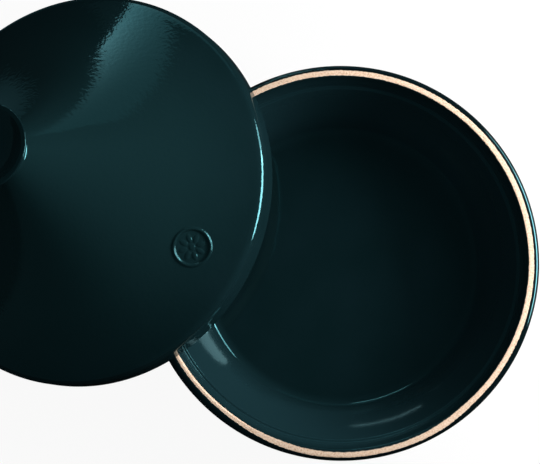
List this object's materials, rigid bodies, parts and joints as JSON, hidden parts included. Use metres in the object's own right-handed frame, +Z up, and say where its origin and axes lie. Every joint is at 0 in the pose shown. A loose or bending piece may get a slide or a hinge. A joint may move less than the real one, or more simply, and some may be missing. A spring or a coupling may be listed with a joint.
{
  "type": "tagine",
  "caption": "Round glazed stoneware tagine: a shallow flared pot with a bare flat rim, and a tall conical lid with a dished knob, taken off and leaning on the rim.",
  "frame": {"origin": "centre of the pot's foot, on the surface that the pot and the lid's lower edge stand on", "axes": "+Z up along the pot's axis; the lid leans on the pot's rim from the side of azimuth 164 degrees, measured from +X towards +Y, so it lies mostly towards -X"},
  "size_m": [0.4654, 0.3363, 0.1902],
  "materials": {
    "glaze": "dark blue-green gloss glaze, bare buff clay on the rim, the lid's seat and the foot"
  },
  "bodies": {
    "root": {"pot": "glaze", "lid": "glaze"}
  },
  "joints": []
}
